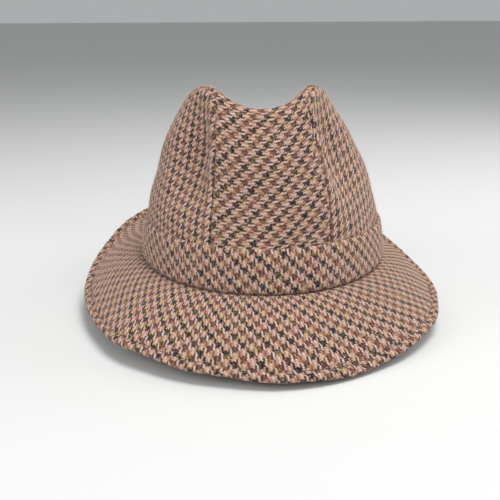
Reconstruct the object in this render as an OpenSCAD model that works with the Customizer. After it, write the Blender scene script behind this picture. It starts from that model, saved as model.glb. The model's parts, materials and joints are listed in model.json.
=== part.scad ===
// Snap-brim fedora in tweed: a three-panel crown with a pinched front and a centre
// crease, a band of the same cloth, and a brim whose front snaps up and down.
// Frame: origin at the centre of the head opening, at the break between crown and
// brim. +Z is up, -Y is the front, and +X is the wearer's left.
// Every layer is an offset of one crown surface or one brim surface, so the layers
// follow one another when a size changes.

/* [Head size] */
// Inside length of the sweatband, front to back
head_length = 200; // [180:1:220]
// Inside width of the sweatband
head_width = 168; // [150:1:190]

/* [Crown] */
// Height of the ridge at the two front peaks
peak_height = 133; // [105:1:150]
// Height of the front edge of the top, at its middle
front_edge_height = 114; // [95:1:140]
// Height of the ridge at the back
rear_height = 103; // [85:1:130]
// Width of the centre panel at the brim
panel_width = 80; // [60:1:90]
// Width of the centre panel at the top of the front
peak_width = 66; // [50:1:84]
// Width between the ridges at mid length
ridge_width = 98; // [84:1:120]
// How far the top of the front leans back from the brim
front_lean = 34; // [20:1:50]
// How far the top of the back leans forward from the brim
rear_lean = 14; // [6:1:30]
// Extra depth of the centre crease below its two ends
crease_depth = 18; // [8:1:28]
// Depth of the finger dent on each side of the front
pinch_depth = 11; // [4:0.5:16]

/* [Cloth and linings] */
// Thickness of the tweed
cloth_t = 1.6; // [1:0.1:2.4]
// Thickness of the stiffening behind the crown tweed
interlining_t = 0.7; // [0.4:0.1:1.2]
// Thickness of the satin lining
lining_t = 0.4; // [0.3:0.1:0.8]
// Thickness of the sweatband leather
leather_t = 1.2; // [0.8:0.1:1.8]
// Space between two crown layers
layer_gap = 0.2; // [0.1:0.05:0.4]
// Space between the lining and the sweatband
sweat_gap = 0.3; // [0.2:0.05:0.6]

/* [Band and sweatband] */
// Height of the hat band
band_height = 29; // [18:1:40]
// Thickness of the hat band
band_t = 2; // [1.2:0.1:3]
// Space between the hat band and the crown, and under the band
band_gap = 0.2; // [0.1:0.05:0.4]
// Height of the sweatband
sweat_height = 36; // [30:1:42]
// Radius of the reed along the bottom of the sweatband
reed_r = 1; // [0.6:0.1:1.4]

/* [Brim] */
// Width of the brim, along its slope
brim_width = 56; // [45:1:70]
// Level of the brim's edge at the front
edge_front = -39; // [-42:1:0]
// Level of the brim's edge at the sides
edge_side = -31; // [-38:1:10]
// Level of the brim's edge at the back
edge_back = 20; // [-20:1:25]
// How far the brim's front sits round to the wearer's left, in degrees
brim_turn = 8; // [-15:1:15]
// Thickness of each of the brim's two cloths
brim_cloth_t = 1.5; // [1:0.1:2.2]
// Thickness of the stiffener between them
stiffener_t = 0.8; // [0.4:0.1:1.6]
// Space between two brim layers
brim_gap = 0.1; // [0.05:0.05:0.3]
// Distance of the edge stitching from the edge
stitch_inset = 5; // [3:0.5:8]
// How far in front of the crown the snap line runs
snap_ahead = 9; // [6:1:16]
// Space between the two halves of the brim at the snap line
snap_gap = 0.5; // [0.3:0.1:1]

/* [Hidden] */
stack = cloth_t + layer_gap + interlining_t + layer_gap + lining_t + sweat_gap + leather_t;
ax = head_width / 2 + stack;     // half width of the crown at the brim
ay = head_length / 2 + stack;    // half length of the crown at the brim
d_inter = cloth_t + layer_gap;
d_lining = d_inter + interlining_t + layer_gap;
d_sweat = d_lining + lining_t + sweat_gap;
bx = ax + band_gap + band_t + 0.2;   // the oval just outside the band, where the brim breaks
by = ay + band_gap + band_t + 0.2;
k0 = panel_width / 2 / ax;
psi0 = asin(k0);
peak_drop = 11;      // rounding of the peaks and of the rear corners of the ridge
peak_share = 0.17;   // share of the ridge that the rounding takes
roll = 6;            // how far the front and back roll over into the top
ridge_half = ridge_width / 2;
rear_half = peak_width / 2 + 5;
curl = 4;            // how much more steeply the brim turns up towards the back
z_front_top = peak_height - peak_drop;
z_rear_top = rear_height - peak_drop;
rear_edge_height = z_rear_top - 2;
nw = 10;             // rows up the crown, of which two are behind the band
ns = 14;             // columns along each side
nq = 8;              // columns across the centre panel
nt = 2 * nw + ns;    // rows along the centre panel, front to back
left_side = 2 * nq + ns;  // first column of a ring that mirrors the other side
nf = 14;             // columns of the brim across the snapped front
nr = 42;             // columns round the rest of the brim
brim_in = leather_t + sweat_gap + lining_t + layer_gap + interlining_t + layer_gap + cloth_t
        + band_gap + band_t + 0.2;   // from the head opening out to the break oval
brim_z = -0.1;       // the brim's top is this far below the crown
y_snap = -by - snap_ahead;
tweed = [0.45, 0.36, 0.33];
thread_c = [0.22, 0.2, 0.24];
satin_c = [0.16, 0.12, 0.12];
leather_c = [0.36, 0.2, 0.12];

// Which node to build, or all of them

// ---- small helpers ----
function lerp(a, b, t) = a + (b - a) * t;
function clamp01(t) = min(1, max(0, t));
function unit(v) = v / max(norm(v), 1e-9);
function flat(ll) = [for (l = ll) for (v = l) v];
function mirror_x(g) = [for (r = g) [for (p = r) [-p[0], p[1], p[2]]]];
function flip_rows(g) = [for (i = [len(g) - 1:-1:0]) g[i]];

// ---- the crown's outer surface ----
// s runs along one side from the front seam to the rear seam, h is the share of the height.
function psi(s) = psi0 + s * (180 - 2 * psi0);
function bulge(s) = (sin(psi(s)) - k0) / (1 - k0);
function along(s) = (cos(psi0) - cos(psi(s))) / (2 * cos(psi0));
function ridge_z(s) = lerp(peak_height, rear_height, along(s))
    - peak_drop * pow(max(0, 1 - s / peak_share), 2)
    - peak_drop * pow(max(0, 1 - (1 - s) / peak_share), 2);
function smooth(t) = let (c = clamp01(t)) c * c * (3 - 2 * c);
function seam_x(s, h) = lerp(panel_width / 2, lerp(peak_width / 2, rear_half, s), smooth((h - 0.4) / 0.5));
function seam_y_front(h) = -ay * cos(psi0) + (front_lean - 6) * h + roll * pow(h, 8);
function seam_y_rear(h) = ay * cos(psi0) - (rear_lean - 4) * pow(h, 1.4) - roll * pow(h, 8);
function mid_y_front(h) = -ay + (front_lean - roll) * h + roll * pow(h, 8);
function mid_y_rear(h) = ay - (rear_lean - roll) * pow(h, 1.4) - roll * pow(h, 8);
function side_x(h) = ridge_half + (ax - ridge_half) * (1 - h * h);
function pinch(s, h) = pinch_depth * clamp01(s / 0.07) * smooth((h - 0.23) / 0.2)
    * exp(-pow((s - 0.13) / 0.1, 2) - pow((h - 0.6) / 0.22, 2));
function side_at(s, h) = let (p = pinch(s, h), a = bulge(s), b = along(s), x0 = seam_x(s, h))
    [x0 + (side_x(h) - x0) * a - 0.85 * p,
     lerp(seam_y_front(h), seam_y_rear(h), b) + 0.5 * p,
     h * ridge_z(s)];
// share of the height at row i, so that rows 0, 1 and 2 are level behind the band
function row_h(i, top) = let (b = (band_height + band_gap) / top)
    i <= 2 ? b * i / 2 : b + (1 - b) * (i - 2) / (nw - 2);
function side_point(i, j) = let (s = j / ns) side_at(s, row_h(i, ridge_z(s)));

// The centre panel: q runs from -1 to 1 across, t from 0 to nt from front to back.
function arc(q) = (1 - sqrt(1 - pow(k0 * q, 2))) / (1 - cos(psi0));
function face_point(h, q, x, ym, ys, z) = [q * x, lerp(ym, ys, arc(q)), h * z];
function dip(q, b) = let (a = abs(q), m = min(1, 2 * sin(180 * b)))
    lerp(a * a, a * a * (3 - 2 * a), m);
function top_point(s, q) = let (b = along(s), r = side_at(s, 1),
        yc = lerp(mid_y_front(1), mid_y_rear(1), b),
        zc = lerp(front_edge_height, rear_edge_height, b) - crease_depth * pow(sin(180 * b), 1.2))
    [q * r[0], lerp(yc, r[1], arc(q)), lerp(zc, r[2], dip(q, b))];
function centre_at(t, q) =
    t <= nw ? let (z = lerp(front_edge_height, z_front_top, q * q), h = row_h(t, z))
        face_point(h, q, seam_x(0, h), mid_y_front(h), seam_y_front(h), z)
    : t >= nw + ns ? let (z = lerp(rear_edge_height, z_rear_top, q * q), h = row_h(nt - t, z))
        face_point(h, q, seam_x(1, h), mid_y_rear(h), seam_y_rear(h), z)
    : top_point((t - nw) / ns, q);

// Outward normals, from the neighbouring points
function side_normal(i, j) = let (e = 0.4,
        u = side_point(i, min(ns, j + e)) - side_point(i, max(0, j - e)),
        v = side_point(min(nw, i + e), j) - side_point(max(0, i - e), j))
    unit(cross(u, v));
function centre_normal(t, q) = let (e = 0.4, f = 0.1,
        u = centre_at(t, min(1, q + f)) - centre_at(t, max(-1, q - f)),
        v = centre_at(min(nt, t + e), q) - centre_at(max(0, t - e), q))
    unit(cross(u, v));
// where the side's edge meets the centre panel's row t
function seam_index(t) = t <= nw ? [t, 0] : t >= nw + ns ? [nt - t, ns] : [nw, t - nw];
function seam_normal(t) = let (k = seam_index(t))
    unit(side_normal(k[0], k[1]) + centre_normal(t, 1));
function level(n, base) = base ? unit([n[0], n[1], 0]) : n;

// One layer's skin at depth d below the outer surface
function side_skin(d) = [for (i = [0:nw]) [for (j = [0:ns])
    let (n = j == 0 ? seam_normal(i) : j == ns ? seam_normal(nt - i)
           : i == nw ? seam_normal(nw + j) : side_normal(i, j))
    side_point(i, j) - d * level(n, i == 0)]];
function centre_skin(d) = [for (t = [0:nt]) [for (j = [0:nq])
    let (q = 2 * j / nq - 1, n = j == nq ? seam_normal(t)
           : j == 0 ? let (m = seam_normal(t)) [-m[0], m[1], m[2]] : centre_normal(t, q))
    centre_at(t, q) - d * level(n, t == 0 || t == nt)]];
// A level ring right round the crown, at row i and depth d
function ring(i, d) = concat(
    [for (j = [0:nq - 1]) let (q = 2 * j / nq - 1) centre_at(i, q) - d * ring_normal_c(i, q, j)],
    [for (j = [0:ns - 1]) side_point(i, j) - d * level(j == 0 ? seam_normal(i) : side_normal(i, j), true)],
    [for (j = [nq:-1:1]) let (q = 2 * j / nq - 1) centre_at(nt - i, q) - d * ring_normal_c(nt - i, q, j)],
    [for (j = [ns:-1:1]) let (p = side_point(i, j),
            n = level(j == ns ? seam_normal(nt - i) : side_normal(i, j), true))
        [-(p[0] - d * n[0]), p[1] - d * n[1], p[2]]]);
function ring_normal_c(t, q, j) = level(j == nq ? seam_normal(t)
    : j == 0 ? let (m = seam_normal(t)) [-m[0], m[1], m[2]] : centre_normal(t, q), true);
function at_z(r, z) = [for (p = r) [p[0], p[1], z]];

// ---- the brim's top surface ----
// phi is measured from the front, h is the distance out from the break oval, seen from above.
function oval_normal(phi) = unit([sin(phi) / bx, -cos(phi) / by, 0]);
function edge_z(phi) = let (a = phi - brim_turn, c0 = (edge_front + edge_back) / 4 + edge_side / 2,
        c2 = (edge_front + edge_back) / 4 - edge_side / 2, c1 = (edge_front - edge_back) / 2)
    c0 + (c1 + curl) * cos(a) + c2 * cos(2 * a) - curl * cos(3 * a);
function reach(phi) = sqrt(max(1, brim_width * brim_width - pow(edge_z(phi), 2)));
function brim_point(phi, h) = let (n = oval_normal(phi), r = reach(phi),
        f = pow(max(0, h / r), 1.3 + 0.2 * (1 - cos(phi - brim_turn))))
    [bx * sin(phi) + h * n[0], -by * cos(phi) + h * n[1], brim_z + edge_z(phi) * f];
function brim_normal(phi, h) = let (e = 1, f = 1.5,
        u = brim_point(phi + f, h) - brim_point(phi - f, h),
        v = brim_point(phi, h + e) - brim_point(phi, h - e))
    unit(cross(v, u));
function brim_at(phi, h, d) = let (n = brim_normal(phi, h), m = h < 0.5 ? [0, 0, 1] : n)
    brim_point(phi, h) - d * m;
// how far out the snap line is at phi, or the edge where the line isn't reached
function snap_h(phi) = let (n = oval_normal(phi), y0 = -by * cos(phi))
    cos(phi) <= 0.05 ? reach(phi) : min(reach(phi), (y_snap - y0) / n[1]);
function snap_phi(side, lo = 5, hi = 85, k = 24) = let (m = (lo + hi) / 2)
    k == 0 ? m : snap_h(side * m) < reach(side * m) - 0.01 ? snap_phi(side, m, hi, k - 1)
    : snap_phi(side, lo, m, k - 1);
phi_a = -snap_phi(-1);     // where the snap line meets the edge, on each side
phi_b = snap_phi(1);
front_phis = [for (k = [0:nf]) lerp(phi_a, phi_b, k / nf)];
rear_phis = concat([for (k = [0:nf - 1]) front_phis[k]],
                   [for (k = [0:nr - 1]) lerp(phi_b, 360 + phi_a, k / nr)]);
tip = 0.25;                // the snapped front's two tips stop this share of a column short
flap_phis = [for (k = [0:nf]) k == 0 ? lerp(phi_a, front_phis[1], tip)
    : k == nf ? lerp(phi_b, front_phis[nf - 1], tip) : front_phis[k]];
rear_rows = [0, 0.3, 0.6, 0.83];
function rear_h(phi, j) = let (c = snap_h(phi))
    j == 0 ? -brim_in : j <= 4 ? rear_rows[j - 1] * c
    : j == 5 ? max(c * 0.86, c - stitch_inset) : c;
function front_h(phi, j) = let (c = snap_h(phi) + snap_gap / -oval_normal(phi)[1], r = reach(phi))
    j == 0 ? c : j == 1 ? lerp(c, r, 0.3) : j == 2 ? lerp(c, r, 0.6)
    : j == 3 ? max(lerp(c, r, 0.7), r - stitch_inset) : r;
function rear_skin(d, last) = [for (j = [0:last]) [for (phi = rear_phis) brim_at(phi, rear_h(phi, j), d)]];
function front_skin(d, last) = [for (j = [0:last]) [for (phi = flap_phis) brim_at(phi, front_h(phi, j), d)]];

// ---- solids from two skins ----
// outer and inner are grids of rows; each row runs the same way, and may close on itself.
// From column flip_from on, each cell is split along its other diagonal.
module shell(outer, inner, closed = false, flip_from = 9999) {
    m = len(outer);
    n = len(outer[0]);
    w = closed ? n : n - 1;
    a = m * n;
    polyhedron(points = concat(flat(outer), flat(inner)), faces = concat(
        flat([for (i = [0:m - 2]) for (j = [0:w - 1])
            let (p = i * n + j, q = i * n + (j + 1) % n, r = p + n, s = q + n)
            j < flip_from ? [[p, r, q], [q, r, s], [a + p, a + q, a + r], [a + q, a + s, a + r]]
            : [[p, r, s], [p, s, q], [a + p, a + s, a + r], [a + p, a + q, a + s]]]),
        flat([for (j = [0:w - 1])
            let (p = j, q = (j + 1) % n, e = (m - 1) * n)
            [[p, q, a + p], [q, a + q, a + p],
             [e + p, a + e + p, e + q], [e + q, a + e + p, a + e + q]]]),
        closed ? [] : flat([for (i = [0:m - 2])
            let (p = i * n, r = p + n, q = p + n - 1, s = q + n)
            [[p, a + p, r], [r, a + p, a + r], [q, s, a + q], [s, a + s, a + q]]])), convexity = 8);
}

// A thin tube of six sides along a line of points, each with its own normal
module tube(line, normals, r, closed = false) {
    n = len(line);
    rings = [for (k = [0:n - 1])
        let (a = closed ? (k + n - 1) % n : max(0, k - 1), b = closed ? (k + 1) % n : min(n - 1, k + 1),
             t = unit(line[b] - line[a]), u = unit(normals[k] - (normals[k] * t) * t), v = cross(t, u))
        [for (c = [0:60:300]) line[k] + r * cos(c) * u + r * sin(c) * v]];
    w = closed ? n : n - 1;
    polyhedron(points = flat(rings), faces = concat(
        flat([for (k = [0:w - 1]) for (c = [0:5])
            let (p = k * 6 + c, q = k * 6 + (c + 1) % 6, s = ((k + 1) % n) * 6 + c,
                 t = ((k + 1) % n) * 6 + (c + 1) % 6)
            [[p, s, q], [q, s, t]]]),
        closed ? [] : [[for (c = [0:5]) c], [for (c = [5:-1:0]) (n - 1) * 6 + c]]), convexity = 6);
}

// ---- crown ----
module centre_layer(d, t) { shell(centre_skin(d), centre_skin(d + t)); }
module left_layer(d, t) { shell(side_skin(d), side_skin(d + t)); }
module right_layer(d, t) { mirror([1, 0, 0]) left_layer(d, t); }

module crown_centre_panel() { color(tweed) centre_layer(0, cloth_t); }
module crown_side_panel_left() { color(tweed) left_layer(0, cloth_t); }
module crown_side_panel_right() { color(tweed) right_layer(0, cloth_t); }
module crown_interlining_centre() { color([0.85, 0.83, 0.78]) centre_layer(d_inter, interlining_t); }
module crown_interlining_left() { color([0.85, 0.83, 0.78]) left_layer(d_inter, interlining_t); }
module crown_interlining_right() { color([0.85, 0.83, 0.78]) right_layer(d_inter, interlining_t); }
module lining_centre() { color(satin_c) centre_layer(d_lining, lining_t); }
module lining_left() { color(satin_c) left_layer(d_lining, lining_t); }
module lining_right() { color(satin_c) right_layer(d_lining, lining_t); }

piping_r = 0.9;
piping_from = 4;     // the piping starts above the sweatband
piping_gap = 0.7;
// how squarely the panels beside seam row t face the seam: 1 is flat, and a sharp ridge is less
function fold(t) = let (k = seam_index(t), m = seam_normal(t),
        side = t <= nw ? side_normal(k[0], 1) : t >= nw + ns ? side_normal(k[0], ns - 1)
            : side_normal(nw - 1, k[1]))
    min(m * centre_normal(t, 1 - 2 / nq), m * side);
function tightest(t) = min([for (k = [-1:1]) fold(max(1, min(nt - 1, t + k)))]);
module lining_piping_left() {
    rows = [for (t = [piping_from:nt - piping_from]) t];
    clear = d_lining + lining_t + piping_gap + piping_r;
    color(satin_c) tube([for (t = rows) centre_at(t, 1) - clear / tightest(t) * seam_normal(t)],
        [for (t = rows) seam_normal(t)], piping_r);
}
module lining_piping_right() { mirror([1, 0, 0]) lining_piping_left(); }

// ---- band and sweatband ----
module hat_band() {
    out = band_gap + band_t;
    color(tweed) shell([at_z(ring(0, -out), band_gap), ring(1, -out), ring(2, -out)],
        [at_z(ring(0, -band_gap), band_gap), ring(1, -band_gap), ring(2, -band_gap)],
        closed = true, flip_from = left_side);
}
module sweatband() {
    top = 2 + (sweat_height - band_height) * (nw - 2) / (peak_height - band_height);
    function skin(d) = [at_z(ring(0, d), 0.2), ring(1, d), ring(2, d), at_z(ring(top, d + 0.4), sweat_height)];
    color(leather_c) shell(skin(d_sweat), skin(d_sweat + leather_t), closed = true, flip_from = left_side);
}
function sweat_line(z, d) = let (i = 2 * z / (band_height + band_gap)) at_z(ring(i, d), z);
module sweatband_reed() {
    line = sweat_line(0.3 + reed_r, d_sweat + leather_t + 0.1 + reed_r);
    color(leather_c) tube(line, [for (p = line) unit([p[0], p[1], 0])], reed_r, closed = true);
}
module sweatband_stitching() {
    line = sweat_line(2.2 + 2 * reed_r, d_sweat + leather_t + 0.4);
    color(thread_c) tube(line, [for (p = line) unit([p[0], p[1], 0])], 0.25, closed = true);
}
module size_label() {
    // a blank tab sewn to the sweatband inside, near the back
    d = d_sweat + leather_t + 0.1;
    cols = [3, 4];
    function part_ring(z, dd) = let (r = [for (j = [nq:-1:0]) let (q = 2 * j / nq - 1,
            i = 2 * z / (band_height + band_gap)) centre_at(nt - i, q) - dd * ring_normal_c(nt - i, q, j)])
        [for (c = cols) [r[c][0], r[c][1], z]];
    color([0.9, 0.9, 0.88]) shell([part_ring(12, d), part_ring(24, d)],
        [part_ring(12, d + 0.4), part_ring(24, d + 0.4)]);
}

// ---- brim ----
d_stiff = brim_cloth_t + brim_gap;
d_under = d_stiff + stiffener_t + brim_gap;
module rear_layer(d, t, last = 6) { shell(flip_rows(rear_skin(d, last)), flip_rows(rear_skin(d + t, last)), closed = true); }
module front_layer(d, t, last = 4) { shell(flip_rows(front_skin(d, last)), flip_rows(front_skin(d + t, last))); }
module brim_top_cloth() { color(tweed) rear_layer(0, brim_cloth_t); }
module brim_stiffener() { color([0.85, 0.83, 0.78]) rear_layer(d_stiff, stiffener_t, 5); }
module brim_under_cloth() { color(tweed) rear_layer(d_under, brim_cloth_t); }
module front_brim_top_cloth() { color(tweed) front_layer(0, brim_cloth_t); }
module front_brim_stiffener() { color([0.85, 0.83, 0.78]) front_layer(d_stiff, stiffener_t, 3); }
module front_brim_under_cloth() { color(tweed) front_layer(d_under, brim_cloth_t); }

stitch_r = 0.3;
stitch_lift = 0.12;
module brim_edge_stitching() {
    phis = [for (k = [0:nr]) lerp(phi_b, 360 + phi_a, k / nr)];
    color(thread_c) tube([for (p = phis) brim_at(p, rear_h(p, 5), -stitch_r - stitch_lift)],
        [for (p = phis) brim_normal(p, rear_h(p, 5))], stitch_r);
}
module front_brim_edge_stitching() {
    phis = [for (k = [1:nf - 1]) front_phis[k]];
    color(thread_c) tube([for (p = phis) brim_at(p, front_h(p, 3), -stitch_r - stitch_lift)],
        [for (p = phis) brim_normal(p, front_h(p, 3))], stitch_r);
}

crown_centre_panel();
crown_side_panel_left();
crown_side_panel_right();
crown_interlining_centre();
crown_interlining_left();
crown_interlining_right();
lining_centre();
lining_left();
lining_right();
lining_piping_left();
lining_piping_right();
hat_band();
brim_top_cloth();
brim_stiffener();
brim_under_cloth();
brim_edge_stitching();
front_brim_top_cloth();
front_brim_stiffener();
front_brim_under_cloth();
front_brim_edge_stitching();
sweatband();
sweatband_reed();
sweatband_stitching();
size_label();
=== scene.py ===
"""The looks of a tweed snap-brim fedora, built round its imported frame.

Sizes are in millimetres until a mesh is made. The hat faces -Y, +X is the wearer's left,
and z = 0 is the break between the crown and the brim.
"""

import json
import math

import bpy
import numpy as np
from mathutils import Matrix, Vector

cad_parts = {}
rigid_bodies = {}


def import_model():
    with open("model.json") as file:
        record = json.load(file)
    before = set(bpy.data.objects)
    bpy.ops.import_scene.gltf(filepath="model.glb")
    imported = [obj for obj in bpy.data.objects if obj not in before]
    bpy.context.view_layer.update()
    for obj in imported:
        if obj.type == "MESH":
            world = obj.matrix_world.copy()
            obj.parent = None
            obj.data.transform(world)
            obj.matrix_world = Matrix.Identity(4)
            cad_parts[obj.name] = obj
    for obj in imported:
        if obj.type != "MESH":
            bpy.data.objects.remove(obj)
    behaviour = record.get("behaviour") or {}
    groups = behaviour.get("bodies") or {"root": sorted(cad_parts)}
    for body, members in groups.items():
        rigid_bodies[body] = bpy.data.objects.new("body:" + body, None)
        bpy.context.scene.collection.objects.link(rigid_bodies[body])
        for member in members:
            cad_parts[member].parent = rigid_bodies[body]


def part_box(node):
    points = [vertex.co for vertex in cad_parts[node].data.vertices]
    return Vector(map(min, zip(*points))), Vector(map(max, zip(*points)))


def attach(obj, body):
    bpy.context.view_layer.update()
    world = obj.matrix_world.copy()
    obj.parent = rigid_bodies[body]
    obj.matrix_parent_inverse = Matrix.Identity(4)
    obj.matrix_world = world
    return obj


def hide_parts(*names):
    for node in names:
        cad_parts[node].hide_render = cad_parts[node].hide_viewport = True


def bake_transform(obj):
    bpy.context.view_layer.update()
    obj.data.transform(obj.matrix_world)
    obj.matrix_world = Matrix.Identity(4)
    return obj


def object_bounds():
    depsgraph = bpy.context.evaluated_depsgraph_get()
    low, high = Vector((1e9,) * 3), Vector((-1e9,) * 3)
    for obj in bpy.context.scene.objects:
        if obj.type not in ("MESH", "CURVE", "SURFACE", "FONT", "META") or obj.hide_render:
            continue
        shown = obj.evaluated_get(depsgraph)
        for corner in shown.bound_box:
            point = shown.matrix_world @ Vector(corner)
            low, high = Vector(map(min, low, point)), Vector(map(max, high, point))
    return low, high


for left_over in list(bpy.data.objects):
    bpy.data.objects.remove(left_over)
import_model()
cad_low, cad_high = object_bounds()

MM = 0.001
PI = math.pi

# ---- the hat's own sizes, as the frame has them ----
HEAD_LENGTH, HEAD_WIDTH = 200.0, 168.0
PEAK_HEIGHT, FRONT_EDGE_HEIGHT, REAR_HEIGHT = 133.0, 114.0, 103.0
PANEL_WIDTH, PEAK_WIDTH, RIDGE_WIDTH = 80.0, 66.0, 98.0
FRONT_LEAN, REAR_LEAN = 34.0, 14.0
CREASE_DEPTH, PINCH_DEPTH = 18.0, 11.0
SOFT_PINCH = 5.0  # the cloth's pinch goes this much deeper than the frame's
CLOTH, INTERLINING, LINING, LEATHER = 1.6, 0.7, 0.4, 1.2
LAYER_GAP, SWEAT_GAP = 0.2, 0.3
BAND_HEIGHT, BAND_CLOTH, BAND_GAP = 29.0, 2.0, 0.2
SWEAT_HEIGHT, REED_RADIUS = 36.0, 1.0
BRIM_WIDTH, EDGE_FRONT, EDGE_SIDE, EDGE_BACK, BRIM_TURN = 56.0, -39.0, -31.0, 20.0, 8.0
BRIM_CLOTH, STIFFENER, BRIM_GAP = 1.5, 0.8, 0.1
STITCH_INSET = 5.0
STACK = CLOTH + LAYER_GAP + INTERLINING + LAYER_GAP + LINING + SWEAT_GAP + LEATHER
AX, AY = HEAD_WIDTH / 2 + STACK, HEAD_LENGTH / 2 + STACK
BX, BY = AX + BAND_GAP + BAND_CLOTH + 0.2, AY + BAND_GAP + BAND_CLOTH + 0.2
BRIM_IN = STACK + BAND_GAP + BAND_CLOTH + 0.2
BRIM_LEVEL = -0.1
PEAK_DROP, PEAK_SHARE, ROLL, CURL = 11.0, 0.17, 6.0, 4.0
RIDGE_HALF, REAR_HALF = RIDGE_WIDTH / 2, PEAK_WIDTH / 2 + 5
Z_FRONT_TOP, Z_REAR_TOP = PEAK_HEIGHT - PEAK_DROP, REAR_HEIGHT - PEAK_DROP
REAR_EDGE_HEIGHT = Z_REAR_TOP - 2
K0 = PANEL_WIDTH / 2 / AX
PSI0 = math.asin(K0)
LOFT = 2.2  # the ridge starts this much high, because smoothing lowers it

# Points of the fine crown: rows up each face, columns along each side, columns across the strip
ROWS_UP, ALONG, ACROSS = 64, 116, 44
STRIP_ROWS = 2 * ROWS_UP + ALONG


def mix(a, b, t):
    return a + (b - a) * t


def smooth(t):
    c = np.clip(t, 0, 1)
    return c * c * (3 - 2 * c)


def unit(v):
    return v / np.maximum(np.linalg.norm(v, axis=-1, keepdims=True), 1e-9)


def ripple(u, v, seed, waves=6):
    """A soft, irregular swell between about -1 and 1. One unit of u or v is one wavelength."""
    draw = np.random.default_rng(seed)
    total = np.zeros(np.broadcast(u, v).shape)
    for _ in range(waves):
        turn, size, shift = draw.uniform(0, 2 * PI), draw.uniform(0.6, 1.5), draw.uniform(0, 2 * PI)
        total = total + np.sin(2 * PI * size * (u * math.cos(turn) + v * math.sin(turn)) + shift)
    return total / math.sqrt(waves)


# ---- the crown's outer surface: s runs along a side from front seam to rear seam ----
def psi(s):
    return PSI0 + s * (PI - 2 * PSI0)


def along(s):
    return (math.cos(PSI0) - np.cos(psi(s))) / (2 * math.cos(PSI0))


def ridge_z(s):
    corner = np.maximum(0, 1 - s / PEAK_SHARE) ** 2 + np.maximum(0, 1 - (1 - s) / PEAK_SHARE) ** 2
    return mix(PEAK_HEIGHT + LOFT, REAR_HEIGHT + LOFT, along(s)) - PEAK_DROP * corner


def seam_x(s, h):
    return mix(PANEL_WIDTH / 2, mix(PEAK_WIDTH / 2, REAR_HALF, s), smooth((h - 0.4) / 0.5))


def seam_y_front(h):
    return -AY * math.cos(PSI0) + (FRONT_LEAN - 6) * h + ROLL * h**8


def seam_y_rear(h):
    return AY * math.cos(PSI0) - (REAR_LEAN - 4) * h**1.4 - ROLL * h**8


def mid_y_front(h):
    return -AY + (FRONT_LEAN - ROLL) * h + ROLL * h**8


def mid_y_rear(h):
    return AY - (REAR_LEAN - ROLL) * h**1.4 - ROLL * h**8


def side_at(s, h):
    """A point of the wearer's left side, at share s along it and share h of its height."""
    dent = (
        (PINCH_DEPTH + SOFT_PINCH)
        * np.clip(s / 0.05, 0, 1)
        * smooth((h - 0.23) / 0.2)
        * np.exp(-(((s - 0.13) / 0.09) ** 2) - ((h - 0.64) / 0.21) ** 2)
    )
    bulge = (np.sin(psi(s)) - K0) / (1 - K0)
    x0 = seam_x(s, h)
    wide = RIDGE_HALF + (AX - RIDGE_HALF) * (1 - h * h)
    x = x0 + (wide - x0) * bulge - 0.85 * dent
    y = mix(seam_y_front(h), seam_y_rear(h), along(s)) + 0.5 * dent
    return np.stack(np.broadcast_arrays(x, y, h * ridge_z(s)), -1)


def arc(q):
    return (1 - np.sqrt(1 - (K0 * q) ** 2)) / (1 - math.cos(PSI0))


def crown_grids():
    """The strip over the middle, and the wearer's left side, as grids that share their seam points."""
    q = np.linspace(-1, 1, ACROSS + 1)[None, :]
    h = np.linspace(0, 1, ROWS_UP + 1)[:, None]
    s = np.linspace(0, 1, ALONG + 1)[:, None]
    front_top = mix(FRONT_EDGE_HEIGHT + LOFT, Z_FRONT_TOP + LOFT, q * q)
    rear_top = mix(REAR_EDGE_HEIGHT + LOFT, Z_REAR_TOP + LOFT, q * q)
    front = np.stack(
        np.broadcast_arrays(q * seam_x(0, h), mix(mid_y_front(h), seam_y_front(h), arc(q)), h * front_top), -1
    )
    rear = np.stack(
        np.broadcast_arrays(q * seam_x(1, h), mix(mid_y_rear(h), seam_y_rear(h), arc(q)), h * rear_top), -1
    )
    b = along(s)
    ridge = side_at(s, np.ones_like(s))
    floor_y = mix(mid_y_front(1), mid_y_rear(1), b)
    floor_z = mix(FRONT_EDGE_HEIGHT + LOFT, REAR_EDGE_HEIGHT + LOFT, b) - CREASE_DEPTH * np.maximum(0, np.sin(PI * b)) ** 1.2
    a = np.abs(q)
    shape = mix(a * a, a * a * (3 - 2 * a), np.minimum(1, 2 * np.sin(PI * b)))
    top = np.stack(
        np.broadcast_arrays(q * ridge[..., 0], mix(floor_y, ridge[..., 1], arc(q)), mix(floor_z, ridge[..., 2], shape)),
        -1,
    )
    strip = np.concatenate([front[:-1], top, rear[-2::-1]])
    side = side_at(s.T, h)
    return strip, side


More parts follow.
